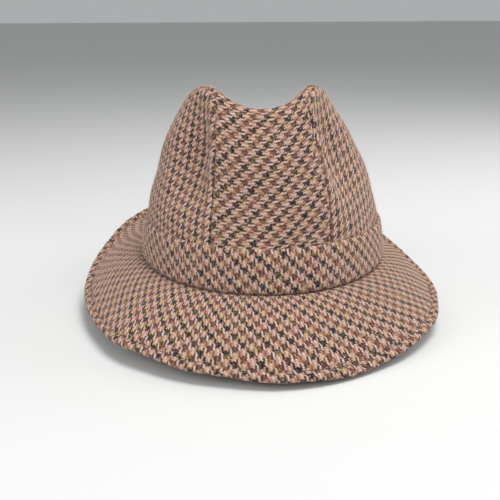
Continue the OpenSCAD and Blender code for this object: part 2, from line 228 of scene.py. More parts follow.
def crown_surface():
    """The crown as one smooth skin: points, a grid of point numbers for each panel, and normals."""
    strip, side = crown_grids()
    n_strip = strip.shape[0] * strip.shape[1]
    strip_id = np.arange(n_strip).reshape(strip.shape[:2])
    points = [strip.reshape(-1, 3)]
    count = n_strip
    ids = []
    for sign, edge in ((1, strip_id[:, -1]), (-1, strip_id[:, 0])):
        grid = np.full(side.shape[:2], -1)
        grid[:, 0] = edge[: ROWS_UP + 1]
        grid[-1, :] = edge[ROWS_UP : ROWS_UP + ALONG + 1]
        grid[:, -1] = edge[::-1][: ROWS_UP + 1]
        free = grid < 0
        grid[free] = count + np.arange(free.sum())
        points.append(side[free] * [sign, 1, 1])
        count += free.sum()
        ids.append(grid)
    points = np.concatenate(points)
    left_id, right_id = ids
    edges = np.concatenate(
        [
            np.concatenate([g[:, :-1].reshape(-1, 1), g[:, 1:].reshape(-1, 1)], 1)
            for g in (strip_id, left_id, right_id)
        ]
        + [
            np.concatenate([g[:-1].reshape(-1, 1), g[1:].reshape(-1, 1)], 1)
            for g in (strip_id, left_id, right_id)
        ]
    )
    edges = np.unique(np.sort(edges, 1), axis=0)
    share = np.bincount(edges.ravel(), minlength=count)[:, None]
    free = smooth((points[:, 2:3] - 14) / 30)  # the foot of the crown keeps its oval
    for _ in range(34):
        total = np.stack(
            [
                np.bincount(edges[:, 0], points[edges[:, 1], k], count)
                + np.bincount(edges[:, 1], points[edges[:, 0], k], count)
                for k in range(3)
            ],
            1,
        )
        points = points + 0.5 * free * (total / share - points)
    # the crown has settled a little to the wearer's right, and is fuller on that side
    x, _, z = points.T
    settle = 3.4 * smooth((z - 60) / 52) + 2.2 * smooth((x - 10) / 25) * smooth((z - 90) / 30)
    fuller = 1.3 * smooth((-x - 45) / 30) * smooth((z - 32) / 20)
    points[:, 0] -= settle + fuller
    grids = {"centre": strip_id, "left": left_id, "right": right_id[:, ::-1]}
    return points, grids, surface_normals(points, grids.values())


def surface_normals(points, grids):
    normals = np.zeros_like(points)
    for g in grids:
        a, b, c, d = g[:-1, :-1], g[:-1, 1:], g[1:, 1:], g[1:, :-1]
        n = np.cross(points[c] - points[a], points[d] - points[b])
        for corner in (a, b, c, d):
            for k in range(3):
                normals[:, k] += np.bincount(corner.ravel(), n[..., k].ravel(), len(points))
    return unit(normals)


# ---- meshes ----
def lengths(grid, axis):
    """Distance along a grid's rows or columns, in millimetres, from the first point."""
    step = np.linalg.norm(np.diff(grid, axis=axis), axis=-1)
    start = np.zeros_like(np.take(step, [0], axis))
    return np.concatenate([start, np.cumsum(step, axis)], axis)


def shell(name, outer, inner, uv, material, closed=False, bends=False):
    """A cloth between two grids of points. uv is in millimetres on the cloth, and has one more column than a
    closed grid. bends is not used."""
    rows, cols = outer.shape[:2]
    wide = cols if closed else cols - 1
    i, j = (a.ravel() for a in np.meshgrid(np.arange(rows - 1), np.arange(wide), indexing="ij"))
    k = np.arange(wide)
    m = np.arange(rows - 1)
    inside = rows * cols

    def corner(i, j, layer):
        return np.stack([i * cols + j % cols + layer * inside, i, j], -1)

    def ring(*corners):
        return np.stack(corners, 1)

    faces = [
        ring(corner(i, j, 0), corner(i, j + 1, 0), corner(i + 1, j + 1, 0), corner(i + 1, j, 0)),
        ring(corner(i, j, 1), corner(i + 1, j, 1), corner(i + 1, j + 1, 1), corner(i, j + 1, 1)),
        ring(corner(0 * k, k + 1, 0), corner(0 * k, k, 0), corner(0 * k, k, 1), corner(0 * k, k + 1, 1)),
        ring(*(corner(0 * k + rows - 1, k + a, b) for a, b in ((0, 0), (1, 0), (1, 1), (0, 1)))),
    ]
    if not closed:
        faces.append(ring(corner(m, 0 * m, 0), corner(m + 1, 0 * m, 0), corner(m + 1, 0 * m, 1), corner(m, 0 * m, 1)))
        e = 0 * m + cols - 1
        faces.append(ring(corner(m + 1, e, 0), corner(m, e, 0), corner(m, e, 1), corner(m + 1, e, 1)))
    faces = np.concatenate(faces)
    points = np.concatenate([outer.reshape(-1, 3), inner.reshape(-1, 3)])
    made = solid(name, points, faces[..., 0], material)
    cloth = made.data.uv_layers.new(name="cloth")
    order = faces if not made.get("turned") else faces[:, ::-1]
    cloth.data.foreach_set("uv", (uv[order[..., 1], order[..., 2]] * MM).astype(np.float32).ravel())
    if "turned" in made:
        del made["turned"]
    return made


def solid(name, points, faces, material):
    """A closed mesh from points in millimetres. Its faces are turned outwards if they point in."""
    tri = points[faces[:, :3]]
    volume = np.einsum("ij,ij->i", tri[:, 0], np.cross(tri[:, 1], tri[:, 2])).sum()
    if faces.shape[1] == 4:
        tri = points[faces[:, [0, 2, 3]]]
        volume += np.einsum("ij,ij->i", tri[:, 0], np.cross(tri[:, 1], tri[:, 2])).sum()
    turned = volume < 0
    mesh = bpy.data.meshes.new(name)
    mesh.from_pydata((points * MM).tolist(), [], (faces[:, ::-1] if turned else faces).tolist())
    mesh.polygons.foreach_set("use_smooth", np.ones(len(mesh.polygons), bool))
    mesh.materials.append(material)
    mesh.update()
    made = bpy.data.objects.new(name, mesh)
    bpy.context.scene.collection.objects.link(made)
    if turned:
        made["turned"] = True
    return made


def tube(name, line, up, radius, material, closed=False, flat=1.0, sides=10):
    """A round or flattened tube along a line of points."""
    n = len(line)
    ahead = np.roll(line, -1, 0) - np.roll(line, 1, 0)
    if not closed:
        ahead[0], ahead[-1] = line[1] - line[0], line[-1] - line[-2]
    ahead = unit(ahead)
    up = unit(up - (up * ahead).sum(1, keepdims=True) * ahead)
    across = np.cross(ahead, up)
    turn = np.arange(sides) * 2 * PI / sides
    ring = line[:, None] + radius * (
        flat * np.cos(turn)[None, :, None] * up[:, None] + np.sin(turn)[None, :, None] * across[:, None]
    )
    w = n if closed else n - 1
    i, j = (a.ravel() for a in np.meshgrid(np.arange(w), np.arange(sides), indexing="ij"))
    a, b = i * sides + j, i * sides + (j + 1) % sides
    c, d = ((i + 1) % n) * sides + (j + 1) % sides, ((i + 1) % n) * sides + j
    faces = np.stack([a, b, c, d], 1)
    points = ring.reshape(-1, 3)
    if not closed:
        caps = []
        for base, end in ((0, line[0]), ((n - 1) * sides, line[-1])):
            points = np.concatenate([points, end[None]])
            tip = len(points) - 1
            k = np.arange(sides)
            first, second = base + k, base + (k + 1) % sides
            pair = (second, first) if base == 0 else (first, second)
            caps.append(np.stack([pair[0], pair[1], np.full(sides, tip), np.full(sides, tip)], 1))
        made = solid_mixed(name, points, faces, np.concatenate(caps)[:, :3], material)
    else:
        made = solid(name, points, faces, material)
    if "turned" in made:
        del made["turned"]
    return made


def solid_mixed(name, points, quads, triangles, material):
    """As solid(), for a mesh of quads and triangles."""
    mesh = bpy.data.meshes.new(name)
    mesh.from_pydata((points * MM).tolist(), [], quads.tolist() + triangles.tolist())
    tri = np.concatenate([quads[:, :3], quads[:, [0, 2, 3]], triangles])
    p = points[tri]
    if np.einsum("ij,ij->i", p[:, 0], np.cross(p[:, 1], p[:, 2])).sum() < 0:
        mesh.flip_normals()
    mesh.polygons.foreach_set("use_smooth", np.ones(len(mesh.polygons), bool))
    mesh.materials.append(material)
    made = bpy.data.objects.new(name, mesh)
    bpy.context.scene.collection.objects.link(made)
    return made


# ---- materials ----
def paint(hex_value):
    """An sRGB hex colour as the linear colour that shaders take."""
    parts = [int(hex_value[i : i + 2], 16) / 255 for i in (1, 3, 5)]
    return tuple(c / 12.92 if c <= 0.04045 else ((c + 0.055) / 1.055) ** 2.4 for c in parts) + (1.0,)


def add(tree, kind, links=None, **settings):
    """A node with its settings, and each input either linked or set."""
    made = tree.nodes.new(kind)
    for key, value in settings.items():
        setattr(made, key, value)
    for key, value in (links or {}).items():
        if isinstance(value, bpy.types.NodeSocket):
            tree.links.new(value, made.inputs[key])
        else:
            made.inputs[key].default_value = value
    return made


def math_of(tree, operation, *values):
    return add(tree, "ShaderNodeMath", dict(enumerate(values)), operation=operation).outputs[0]


def blank_material(name, roughness, **shader_values):
    """A material with only a Principled shader; shader_values are set on its own sockets."""
    material = bpy.data.materials.new(name)
    material.use_nodes = True
    tree = material.node_tree
    tree.nodes.clear()
    shader = add(tree, "ShaderNodeBsdfPrincipled", {"Roughness": roughness, **shader_values})
    output = add(tree, "ShaderNodeOutputMaterial", {0: shader.outputs[0]})
    output.location = (400, 0)
    return material, tree, shader


def yarns(tree, place, colours):
    """Yarn colours, four threads of each in turn. place counts threads."""
    turn = math_of(tree, "DIVIDE", math_of(tree, "FLOORED_MODULO", place, 16.0), 16.0)
    ramp = add(tree, "ShaderNodeValToRGB", {0: turn})
    ramp.color_ramp.interpolation = "CONSTANT"
    stops = ramp.color_ramp.elements
    stops[0].position, stops[0].color = 0.0, paint(colours[0])
    stops[1].position, stops[1].color = 0.25, paint(colours[1])
    for share, colour in ((0.5, colours[2]), (0.75, colours[3])):
        stop = stops.new(share)
        stop.color = paint(colour)
    return ramp.outputs[0]


# Eight threads of the tweed, across the warp and across the weft
WARP_REPEAT, WEFT_REPEAT = 6.1, 7.35
# Yarns, four threads of each in turn. The warp's darks are ink and rust, so its rows show most; the weft's are umber.
WARP = ("#DABCB1", "#111218", "#DCBCA6", "#82503F")
WEFT = ("#B89182", "#453034", "#B59279", "#33313A")


def tweed():
    """Wool tweed in a houndstooth: a two-and-two twill with four threads of each colour.
    The eye sees jagged teeth in diagonal rows, soft, heathered and matte, with a pale bloom where it looks along
    the cloth. The cloth coordinates run across the warp and across the weft, so each panel's cut is in its mesh."""
    material, tree, shader = blank_material(
        "wool_tweed", 0.92, IOR=1.5, **{"Specular IOR Level": 0.2, "Sheen Weight": 0.16, "Sheen Roughness": 0.5}
    )
    shader.inputs["Sheen Tint"].default_value = paint("#F3DDCB")
    uv = add(tree, "ShaderNodeUVMap", uv_map="cloth").outputs[0]
    # the yarns wander by about a third of a thread over a few millimetres
    wander = add(tree, "ShaderNodeTexNoise", {"Vector": uv, "Scale": 170.0, "Detail": 3.0, "Roughness": 0.7})
    drift = add(
        tree, "ShaderNodeVectorMath", {0: wander.outputs["Color"], 1: (0.5, 0.5, 0.5)}, operation="SUBTRACT"
    )
    drift = add(tree, "ShaderNodeVectorMath", {0: drift.outputs[0], "Scale": 0.0019}, operation="SCALE")
    on_cloth = add(tree, "ShaderNodeVectorMath", {0: uv, 1: drift.outputs[0]}, operation="ADD").outputs[0]
    parts = add(tree, "ShaderNodeSeparateXYZ", {0: on_cloth})
    warp = math_of(tree, "MULTIPLY", parts.outputs[0], 8 / (WARP_REPEAT * MM))
    weft = math_of(tree, "MULTIPLY", parts.outputs[1], 8 / (WEFT_REPEAT * MM))
    warp_number, weft_number = math_of(tree, "FLOOR", warp), math_of(tree, "FLOOR", weft)
    warp_part, weft_part = math_of(tree, "FRACT", warp), math_of(tree, "FRACT", weft)
    step = math_of(tree, "FLOORED_MODULO", math_of(tree, "SUBTRACT", warp_number, weft_number), 4.0)
    warp_on_top = math_of(tree, "LESS_THAN", step, 1.5)
    # each thread is a round ridge that dips where it goes under
    warp_float = math_of(tree, "COSINE", math_of(tree, "MULTIPLY", math_of(tree, "SUBTRACT", step, weft_part), PI / 2))
    weft_over = math_of(tree, "SUBTRACT", math_of(tree, "ADD", step, warp_part), 3.0)
    weft_float = math_of(tree, "COSINE", math_of(tree, "MULTIPLY", weft_over, PI / 2))
    heights = []
    for part, over in ((warp_part, warp_float), (weft_part, weft_float)):
        ridge = math_of(tree, "SINE", math_of(tree, "MULTIPLY", part, PI))
        heights.append(math_of(tree, "MULTIPLY", ridge, math_of(tree, "ADD", 0.45, over)))
    height = add(tree, "ShaderNodeMix", {0: warp_on_top, 2: heights[1], 3: heights[0]}, data_type="FLOAT").outputs[0]

    def blended(share, first, second):
        made = add(tree, "ShaderNodeMix", {0: share}, data_type="RGBA")
        for socket, colour in ((made.inputs[6], first), (made.inputs[7], second)):
            if isinstance(colour, str):
                socket.default_value = paint(colour)
            else:
                tree.links.new(colour, socket)
        return made.outputs[2]

    def between(value, low, high, to_low, to_high):
        limits = {"Value": value, "From Min": low, "From Max": high, "To Min": to_low, "To Max": to_high}
        return add(tree, "ShaderNodeMapRange", limits).outputs[0]

    colour = blended(warp_on_top, yarns(tree, weft_number, WEFT), yarns(tree, warp_number, WARP))
    # heather: wool dyed in the fleece, so each thread drifts between pink, straw and cream along its length
    fibre = add(tree, "ShaderNodeTexNoise", {"Vector": uv, "Scale": 1300.0, "Detail": 4.0, "Roughness": 0.75})
    slub = add(tree, "ShaderNodeTexNoise", {"Vector": uv, "Scale": 420.0, "Detail": 2.0})
    tint = add(tree, "ShaderNodeTexNoise", {"Vector": uv, "Scale": 240.0, "Detail": 2.0, "Roughness": 0.7})
    straw = blended(between(tint.outputs[0], 0.52, 0.66, 0.0, 0.5), colour, "#B08A55")
    pink = blended(between(tint.outputs[0], 0.46, 0.33, 0.0, 0.45), straw, "#A8695F")
    bottle = blended(between(slub.outputs[0], 0.64, 0.7, 0.0, 0.45), pink, "#2F4A44")
    cream = blended(between(slub.outputs[0], 0.37, 0.3, 0.0, 0.6), bottle, "#E6CDB9")
    shade = between(fibre.outputs[0], 0.3, 0.7, 0.45, 1.5)
    # painted shade: the colour darkens where the thread surface lies low, in the hollows between threads and where a
    # thread dips under; the fibre noise above is the heather's own tone
    hollow = between(height, 0.0, 1.2, 0.66, 1.08)
    heather_and_painted_shade = math_of(tree, "MULTIPLY", shade, hollow)
    shaded = add(tree, "ShaderNodeVectorMath", {0: cream, "Scale": heather_and_painted_shade}, operation="SCALE").outputs[0]
    tree.links.new(shaded, shader.inputs["Base Color"])
    woolly = math_of(tree, "ADD", height, math_of(tree, "MULTIPLY", fibre.outputs[0], 0.8))
    bump = add(tree, "ShaderNodeBump", {"Height": woolly, "Strength": 0.8, "Distance": 0.00035})
    tree.links.new(bump.outputs[0], shader.inputs["Normal"])
    return material


def plain_cloth(name, colour, roughness, thread_mm, relief_mm, **shader_values):
    """A plain-woven cloth whose threads are thread_mm wide."""
    material, tree, shader = blank_material(name, roughness, **shader_values)
    shader.inputs["Base Color"].default_value = paint(colour)
    uv = add(tree, "ShaderNodeUVMap", uv_map="cloth").outputs[0]
    across = add(tree, "ShaderNodeVectorMath", {0: uv, "Scale": PI / (thread_mm * MM)}, operation="SCALE")
    parts = add(tree, "ShaderNodeSeparateXYZ", {0: across.outputs[0]})
    one = math_of(tree, "ABSOLUTE", math_of(tree, "SINE", parts.outputs[0]))
    other = math_of(tree, "ABSOLUTE", math_of(tree, "SINE", parts.outputs[1]))
    bump = add(
        tree,
        "ShaderNodeBump",
        {"Height": math_of(tree, "MULTIPLY", one, other), "Strength": 0.5, "Distance": relief_mm * MM},
    )
    tree.links.new(bump.outputs[0], shader.inputs["Normal"])
    return material


def leather(name, colour):
    """Smooth vegetable-tanned sheepskin, dyed and lightly finished: a fine pebbled grain and a low sheen."""
    material, tree, shader = blank_material(name, 0.48, IOR=1.5, **{"Coat Weight": 0.12, "Coat Roughness": 0.35})
    uv = add(tree, "ShaderNodeUVMap", uv_map="cloth").outputs[0]
    grain = add(tree, "ShaderNodeTexVoronoi", {"Vector": uv, "Scale": 900.0}, feature="SMOOTH_F1")
    creases = add(tree, "ShaderNodeTexNoise", {"Vector": uv, "Scale": 120.0, "Detail": 5.0})
    tone = add(tree, "ShaderNodeMix", {0: creases.outputs[0]}, data_type="RGBA")
    tone.inputs[6].default_value = paint(colour)
    tone.inputs[7].default_value = paint("#7C5236")
    tree.links.new(tone.outputs[2], shader.inputs["Base Color"])
    relief = math_of(tree, "ADD", grain.outputs[0], math_of(tree, "MULTIPLY", creases.outputs[0], 0.8))
    bump = add(tree, "ShaderNodeBump", {"Height": relief, "Strength": 0.35, "Distance": 0.00025})
    tree.links.new(bump.outputs[0], shader.inputs["Normal"])
    return material


def spun(name, colour, roughness=0.6):
    """Polyester-cotton sewing thread: plain colour with the faint glint of a hard twist."""
    material, tree, shader = blank_material(name, roughness, IOR=1.5, **{"Sheen Weight": 0.2})
    shader.inputs["Base Color"].default_value = paint(colour)
    place = add(tree, "ShaderNodeTexCoord").outputs["Object"]
    twist = add(tree, "ShaderNodeTexNoise", {"Vector": place, "Scale": 4000.0, "Detail": 1.0})
    bump = add(tree, "ShaderNodeBump", {"Height": twist.outputs[0], "Strength": 0.4, "Distance": 0.0001})
    tree.links.new(bump.outputs[0], shader.inputs["Normal"])
    return material


wool_tweed = tweed()
# Single wool fibres standing out of the cloth: they catch the light as a pale, soft edge
loose_wool = spun("loose_wool_fibres", "#D8BFAE", 0.9)
FIBRES_PER_MM2, FIBRE_LENGTH, FIBRE_THICK = 0.25, 1.5, 0.06
# Acetate satin: long floats lie flat, so it is smooth and shines softly. Drawn at 0.3 mm a thread, coarser than real.
satin = plain_cloth("acetate_satin_lining", "#4A2F24", 0.34, 0.3, 0.03, IOR=1.47, **{"Sheen Weight": 0.15, "Anisotropic": 0.4})
piping_satin = plain_cloth("acetate_satin_piping", "#8A6038", 0.36, 0.3, 0.03, IOR=1.47)
# Cotton canvas that stiffens crown and brim: unbleached, coarse and matte
canvas = plain_cloth("cotton_canvas_stiffening", "#D8D0BC", 0.9, 0.6, 0.1, IOR=1.5)
sweat_leather = leather("sheepskin_sweatband", "#5B3622")
edge_thread = spun("polyester_thread_brown", "#3A2D2B")
sweat_thread = spun("polyester_thread_tan", "#C9A878")
# Damask-woven label tape, left blank: bright white and nearly smooth
label_tape = plain_cloth("woven_label_tape", "#ECE8DD", 0.6, 0.25, 0.03, IOR=1.5)


# How each panel is cut: repeats of the cloth per millimetre, rightwards and upwards, across the warp and the weft
CUT = {
    "centre": ((0.114, -0.1165), (0.102, 0.091)),
    "left": ((0.165, -0.032), (-0.03, 0.14)),
    "right": ((0.17, 0.028), (0.03, 0.14)),
    "band": ((0.112, 0.124), (-0.084, 0.108)),
    "brim": ((0.108, 0.134), (-0.075, 0.107)),
}


def cut_cloth(millimetres, piece, round_it=None):
    """Cloth coordinates from millimetres across and up a piece. A closed piece's weave meets itself after round_it."""
    waves = np.array(CUT[piece])
    if round_it is not None:
        waves[:, 0] = np.round(waves[:, 0] * round_it / 2) * 2 / round_it
    return millimetres @ waves.T * [WARP_REPEAT, WEFT_REPEAT]


# ---- the crown ----
crown_points, crown_grid, crown_normals = crown_surface()
bare_points = crown_points.copy()  # the crown before its seams are sunk: band and sweatband follow this


def seam_distance():
    """How far each point of the crown is from the nearest seam, along the cloth."""
    far = np.full(len(crown_points), 1e3)
    strip = crown_grid["centre"]
    across = lengths(crown_points[strip], 1)
    np.minimum.at(far, strip, np.minimum(across, across[:, -1:] - across))
    for side in ("left", "right"):
        grid = crown_grid[side]
        round_it, up_it = lengths(crown_points[grid], 1), lengths(crown_points[grid], 0)
        near = np.minimum(np.minimum(round_it, round_it[:, -1:] - round_it), up_it[-1:] - up_it)
        np.minimum.at(far, grid, near)
    return far


def sink_seams():
    """Sinks the two seams, lets the cloth swell beside them, and gives the crown the slight unevenness of wear."""
    far = seam_distance()
    x, y, z = crown_points.T
    clear = smooth((z - 4) / 30)
    move = -0.95 * np.exp(-((far / 1.2) ** 2)) + 0.4 * np.exp(-(((far - 4.5) / 2.6) ** 2))
    move += 0.55 * clear * ripple((x + 0.6 * y) / 62, z / 48, 11)
    move += 0.22 * clear * ripple((x - 0.5 * y) / 24, (z + y) / 27, 12)
    return crown_points + crown_normals * move[:, None]


crown_points = sink_seams()
crown_normals = surface_normals(crown_points, crown_grid.values())


def crown_skin(panel, depth):
    """The points of a layer this deep under the tweed's face. Its foot stays level."""
    grid = crown_grid[panel]
    skin = crown_points[grid] - depth * crown_normals[grid]
    skin[..., 2] = np.maximum(skin[..., 2], 0.15)
    return skin


def panel_cloth(panel):
    """The cloth of a crown panel, measured across from its middle and up from its foot."""
    points = bare_points[crown_grid[panel]]
    across, up = lengths(points, 1), lengths(points, 0)
    middle = across.shape[1] // 2
    if panel == "centre":
        up = np.broadcast_to(up[:, middle : middle + 1], up.shape)
    return cut_cloth(np.stack([across - across[:, middle : middle + 1], up], -1), panel)


def crown_layer(name, panel, depth, thick, material, slot, *nodes):
    piece = shell(name, crown_skin(panel, depth), crown_skin(panel, depth + thick), panel_cloth(panel), material)
    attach(piece, "hat")
    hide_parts(*nodes)
    return piece


for panel, word in (("centre", "centre"), ("left", "left"), ("right", "right")):
    node = "crown_centre_panel" if panel == "centre" else f"crown_side_panel_{word}"
    crown_layer(f"crown_tweed_{word}", panel, 0.0, CLOTH, wool_tweed, "tweed", node)
    depth = CLOTH + LAYER_GAP
    crown_layer(f"crown_canvas_{word}", panel, depth, INTERLINING, canvas, "interlining", f"crown_interlining_{word}")
    depth += INTERLINING + LAYER_GAP
    crown_layer(f"crown_lining_{word}", panel, depth, LINING, satin, "lining", f"lining_{word}")


def lining_piping(side):
    """The corded satin that covers each seam of the lining."""
    strip = crown_grid["centre"]
    edge = strip[23:-25, -1 if side == "left" else 0]
    deep = CLOTH + LAYER_GAP + INTERLINING + LAYER_GAP + LINING + 1.3
    line = bare_points[edge] - deep * crown_normals[edge]
    piece = tube(f"lining_cord_{side}", line, crown_normals[edge], 0.9, piping_satin)
    piece.data.uv_layers.new(name="cloth")
    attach(piece, "hat")
    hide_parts(f"lining_piping_{side}")


lining_piping("left")
lining_piping("right")


# ---- rings round the crown: band and sweatband ----
def perimeter_columns():
    """Every column of points up the crown, in order round it, from the front's right corner to the left and on."""
    centre, left, right = (crown_grid[k] for k in ("centre", "left", "right"))
    up = slice(0, ROWS_UP + 1)
    front = [centre[up, j] for j in range(ACROSS)]
    wearers_left = [left[:, j] for j in range(ALONG)]
    back = [centre[::-1][up, j] for j in range(ACROSS, 0, -1)]
    wearers_right = [right[:, j] for j in range(ALONG)]
    return front + wearers_left + back + wearers_right


COLUMNS = perimeter_columns()


def ring_at(z, out):
    """The crown's outline at height z, moved outwards by out. Both may differ from column to column."""
    z = np.broadcast_to(z, len(COLUMNS))
    ring = np.array(
        [
            [np.interp(level, bare_points[c, 2], bare_points[c, 0]), np.interp(level, bare_points[c, 2], bare_points[c, 1]), level]
            for level, c in zip(z, COLUMNS)
        ]
    )
    ahead = np.roll(ring, -1, 0) - np.roll(ring, 1, 0)
    outward = unit(np.stack([ahead[:, 1], -ahead[:, 0], 0 * ahead[:, 0]], 1))
    return ring + outward * np.broadcast_to(out, len(COLUMNS))[:, None], outward


def ring_cloth(levels, ring):
    """Cloth coordinates of a closed band: round it, and up it."""
    closed = np.concatenate([ring, ring[:1]])
    round_it = np.concatenate([[0], np.cumsum(np.linalg.norm(np.diff(closed, axis=0), axis=1))])
    return np.stack(np.broadcast_arrays(round_it[None, :], np.asarray(levels, float)[:, None]), -1), round_it


BAND_FACE = []


def hat_band():
    """The band: tweed folded in at both edges, with its free end lapped over at the wearer's left, behind."""
    rise = np.linspace(0, 1, 15)
    base, _ = ring_at(12.0, 0.0)
    round_it = ring_cloth([0], base)[1][:-1]
    share = round_it / round_it[-1]
    droop = 0.45 * ripple(round_it / 70, 0 * round_it, 21)
    low, high = 0.9, BAND_GAP + BAND_HEIGHT
    lap_at = 0.49  # share of the way round
    lap = smooth((share - lap_at) / 0.002) * (1 - smooth((share - lap_at - 0.03) / 0.03))
    outer, inner = [], []
    for t in rise:
        fold = math.sqrt(max(0.0, 1 - max(0.0, (abs(2 * t - 1) - 0.91) / 0.09) ** 2))
        level = low + (high - low) * t + droop * t
        swell = 0.18 * ripple(round_it / 45, t * 0.7 + 0 * round_it, 22) + 0.25 * math.sin(PI * t)
        thick = (BAND_CLOTH + 0.2 + swell + 0.9 * lap) * (0.35 + 0.65 * fold)
        outer.append(ring_at(level, BAND_GAP + 0.1 + thick)[0])
        inner.append(ring_at(level, BAND_GAP + 0.1)[0])
    uv, _ = ring_cloth(low + (high - low) * rise, base)
    uv = cut_cloth(uv, "band", uv[0, -1, 0])
    BAND_FACE.extend(outer)
    piece = shell("hat_band_tweed", np.array(outer), np.array(inner), uv, wool_tweed, closed=True)
    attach(piece, "hat")
    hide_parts("hat_band")


hat_band()


def sweatband():
    """The leather sweatband, with its top edge standing slightly away from the lining."""
    deep = STACK - LEATHER
    levels = np.concatenate([np.linspace(0.35, 32, 12), np.linspace(33.5, SWEAT_HEIGHT, 4)])
    base, _ = ring_at(6.0, -deep)
    uv, round_it = ring_cloth(levels, base)
    face, back = [], []
    for level in levels:
        stand = 0.5 + 0.35 * ripple(round_it[:-1] / 80, 0 * round_it[:-1], 31)
        away = 0.2 + stand * smooth((level - 20) / 16)
        back.append(ring_at(level, -deep - away)[0])
        face.append(ring_at(level, -deep - away - LEATHER)[0])
    piece = shell("sweatband_leather", np.array(face), np.array(back), uv, sweat_leather, closed=True)
    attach(piece, "hat")
    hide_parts("sweatband")
    low = 0.3 + REED_RADIUS
    line, outward = ring_at(low, -deep - 0.3 - LEATHER - REED_RADIUS)
    reed = tube("sweatband_reed_cover", line, outward, REED_RADIUS, sweat_leather, closed=True)
    reed.data.uv_layers.new(name="cloth")
    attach(reed, "hat")
    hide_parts("sweatband_reed")


sweatband()


# ---- the brim ----
def oval(phi):
    """The line where brim meets crown, and its outward direction. phi is 0 at the front and grows to the wearer's left."""
    on = np.stack([BX * np.sin(phi), -BY * np.cos(phi), 0 * phi], -1)
    out = unit(np.stack([BY * np.sin(phi), -BX * np.cos(phi), 0 * phi], -1))
    return on, out


def edge_level(phi):
    a = phi - math.radians(BRIM_TURN)
    level = (EDGE_FRONT + EDGE_BACK) / 4
    wave = (EDGE_FRONT - EDGE_BACK) / 2
    off = np.degrees((phi + PI) % (2 * PI) - PI)
    # worn in: pulled down a little beside the middle of the front, and lifted at its right corner
    worn = 2.2 * np.exp(-(((off + 46) / 18) ** 2)) - 3.4 * np.exp(-(((off - 24) / 20) ** 2))
    return (
        level
        + EDGE_SIDE / 2
        + (wave + CURL) * np.cos(a)
        + (level - EDGE_SIDE / 2) * np.cos(2 * a)
        - CURL * np.cos(3 * a)
        + worn
    )


def reach(phi):
    off = np.degrees((phi + PI) % (2 * PI) - PI)
    width = BRIM_WIDTH + 4.0 * np.exp(-(((off - 12) / 22) ** 2))  # the front is cut a little fuller
    return np.sqrt(width**2 - edge_level(phi) ** 2)


def brim_point(phi, h):
    """A point of the brim's upper face, h out from the crown."""
    on, out = oval(phi)
    share = np.maximum(0, h / reach(phi))
    droop = share ** (1.3 + 0.2 * (1 - np.cos(phi - math.radians(BRIM_TURN))))
    point = on + out * h[..., None]
    point[..., 2] = BRIM_LEVEL + edge_level(phi) * droop
    return point


def brim_normal(phi, h):
    step, out = 0.02, 0.8
    u = brim_point(phi + step, h) - brim_point(phi - step, h)
    v = brim_point(phi, h + out) - brim_point(phi, h - out)
    up = unit(np.cross(v, u))
    return unit(mix(np.array([0, 0, 1.0]), up, smooth(h / 3)[..., None]))


BRIM_COLUMNS = 900
BRIM_THICK = 2 * BRIM_CLOTH + STIFFENER + 2 * BRIM_GAP
BRIM_PHI = PI + np.arange(BRIM_COLUMNS) * 2 * PI / BRIM_COLUMNS  # from the back, round by the wearer's right
EDGE_ROLL = BRIM_THICK / 2  # the edge is rounded over to this radius
STITCH_PITCH = 4.0


def edge_travel():
    """How far round its edge each column of the brim is, in millimetres, and the whole way round."""
    rim = brim_point(BRIM_PHI, reach(BRIM_PHI) - STITCH_INSET)
    step = np.linalg.norm(np.roll(rim, -1, 0) - rim, axis=1)
    return np.concatenate([[0], np.cumsum(step)[:-1]]), step.sum()


EDGE_TRAVEL, EDGE_LENGTH = edge_travel()
STITCH_COUNT = round(EDGE_LENGTH / STITCH_PITCH)


def brim_relief(phi, h, travel):
    """How the brim's cloth is drawn down by its stitching, and puckers toward the edge."""
    from_edge = reach(phi) - h
    beat = 2 * PI * travel * STITCH_COUNT / EDGE_LENGTH
    pull = 0.78 + 0.25 * np.cos(beat)
    row = -pull * np.exp(-(((from_edge - STITCH_INSET) / 1.0) ** 2))
    swell = 0.35 * np.exp(-(((from_edge - STITCH_INSET + 2.6) / 1.5) ** 2))
    swell = swell + 0.2 * np.exp(-(((from_edge - STITCH_INSET - 3.0) / 2.0) ** 2))
    near = smooth((13 - from_edge) / 9)
    pucker = 0.15 * near * np.sin(travel * 2 * PI / 6.7 + 2.2 * ripple(travel / 60, 0 * travel, 41))
    pucker = pucker + 0.14 * near * ripple(travel / 15, from_edge / 40, 42)
    return row + swell + pucker


def brim_drift(phi, h, travel):
    """How far both faces stand off the brim's true shape: slow waves, and a hollow that leaves the lip outside the
    stitching turned up, most at the back."""
    wave = 0.5 * smooth((h - 6) / 30) * ripple(travel / 95, h / 60, 43)
    from_edge = reach(phi) - h
    hollow = smooth((28 - from_edge) / 20) - smooth((STITCH_INSET + 0.2 - from_edge) / 2.8)
    return wave - 2.8 * (0.62 - 0.38 * np.cos(phi)) * hollow


def brim_shift(phi, h, travel):
    """The edge isn't cut quite true."""
    return smooth((h - 25) / 25) * 0.45 * ripple(travel / 70, 0 * travel, 44)


def brim_face(h, depth_of_face, under=False):
    """Brim points at distances h (rows by columns) and this depth under the upper face."""
    phi = np.broadcast_to(BRIM_PHI, h.shape)
    travel = np.broadcast_to(EDGE_TRAVEL, h.shape)
    point = brim_point(phi, h + brim_shift(phi, h, travel))
    normal = brim_normal(phi, h)
    near_crown = smooth((h + 1) / 5)
    relief = brim_relief(phi, h, travel) * (-1 if under else 1) + brim_drift(phi, h, travel)
    return point + normal * (near_crown * relief - depth_of_face)[..., None], normal


def brim_rows():
    """Distances from the crown for rows of points: closest together round the stitching."""
    full = reach(BRIM_PHI)[None, :]
    share = np.linspace(0, 1, 18)[:, None]
    out = np.concatenate([[[-BRIM_IN], [-BRIM_IN / 2], [-0.6]] * np.ones_like(full), share * (full - 11)])
    close = np.linspace(10.2, EDGE_ROLL, 13)[:, None]
    return np.concatenate([out, full - close])


